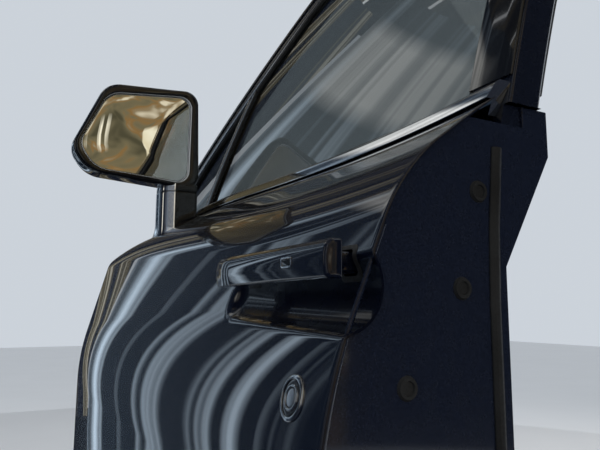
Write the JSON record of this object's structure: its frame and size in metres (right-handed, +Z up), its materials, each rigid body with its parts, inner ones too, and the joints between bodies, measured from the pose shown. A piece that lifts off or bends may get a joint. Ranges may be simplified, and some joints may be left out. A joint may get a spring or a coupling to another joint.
{
  "type": "vehicle front door with door mirror",
  "caption": "Framed front door of a large off-road estate with a folding door mirror, quarter light and outer pull handle, hung on two bolt-on hinges.",
  "frame": {"origin": "middle of the upper hinge's pillar leaf, on the flat face that bolts to the hinge pillar", "axes": "+X towards the vehicle's rear, +Y inboard, +Z up"},
  "size_m": [1.17, 0.4704, 1.27],
  "materials": {
    "paint": "deep blue-black clearcoat",
    "panel": "painted pressing",
    "frame": "painted pressing",
    "gloss_black": "gloss",
    "bright": "polished",
    "glass": "clear, lightly tinted",
    "mirror": "silvered",
    "rubber": "matt",
    "plastic": "matt",
    "grille": "fine perforated",
    "leather": "grained",
    "veneer": "lacquered veneer",
    "steel": "painted forging",
    "pin": "plated"
  },
  "bodies": {
    "pillar_side": {"hinge_upper_post_leaf": "steel", "hinge_lower_post_leaf": "steel", "hinge_upper_pin": "pin", "hinge_lower_pin": "pin"},
    "door": {"outer_skin": "paint", "handle_recess": "paint", "mirror_stalk": "gloss_black", "mirror_stalk_shell": "bright", "inner_panel": "panel", "window_frame": "frame", "frame_trim": "gloss_black", "pillar_cover": "gloss_black", "divider_bar": "gloss_black", "door_glass": "glass", "quarter_glass": "glass", "belt_moulding": "bright", "belt_moulding_front": "bright", "inner_belt_seal": "rubber", "outer_belt_seal": "rubber", "outer_belt_seal_front": "rubber", "door_seal": "rubber", "handle_carrier": "plastic", "lock_ring": "bright", "lock_cap": "gloss_black", "latch_plate": "steel", "latch_claw": "steel", "trim_panel": "leather", "armrest": "leather", "armrest_pad": "leather", "map_pocket": "leather", "switch_panel": "plastic", "release_bezel": "bright", "release_lever": "bright", "speaker_grille": "grille", "door_pull": "bright", "veneer_strip": "veneer", "trim_padding": "leather", "hinge_upper_door_leaf": "steel", "hinge_lower_door_leaf": "steel"},
    "mirror_head": {"mirror_housing": "gloss_black", "mirror_collar": "bright", "mirror_bezel": "gloss_black", "mirror_backing": "plastic", "mirror_glass": "mirror"},
    "outer_handle": {"handle_grip": "paint", "handle_sensor": "bright"}
  },
  "joints": [
    {"name": "door_swing", "type": "hinge", "parent": "pillar_side", "child": "door", "pos_m": [0.055, -0.063, 0], "axis": [0, 0, -1], "range_deg": [0, 68]},
    {"name": "mirror_fold", "type": "hinge", "parent": "door", "child": "mirror_head", "pos_m": [0.334, 0.018, 0.33], "axis": [0, 0, 1], "range_deg": [0, 68]},
    {"name": "handle_pull", "type": "hinge", "parent": "door", "child": "outer_handle", "pos_m": [0.94, -0.07, 0.13], "axis": [0, 0, -1], "range_deg": [0, 8], "stiffness_Nm_per_rad": 2}
  ]
}
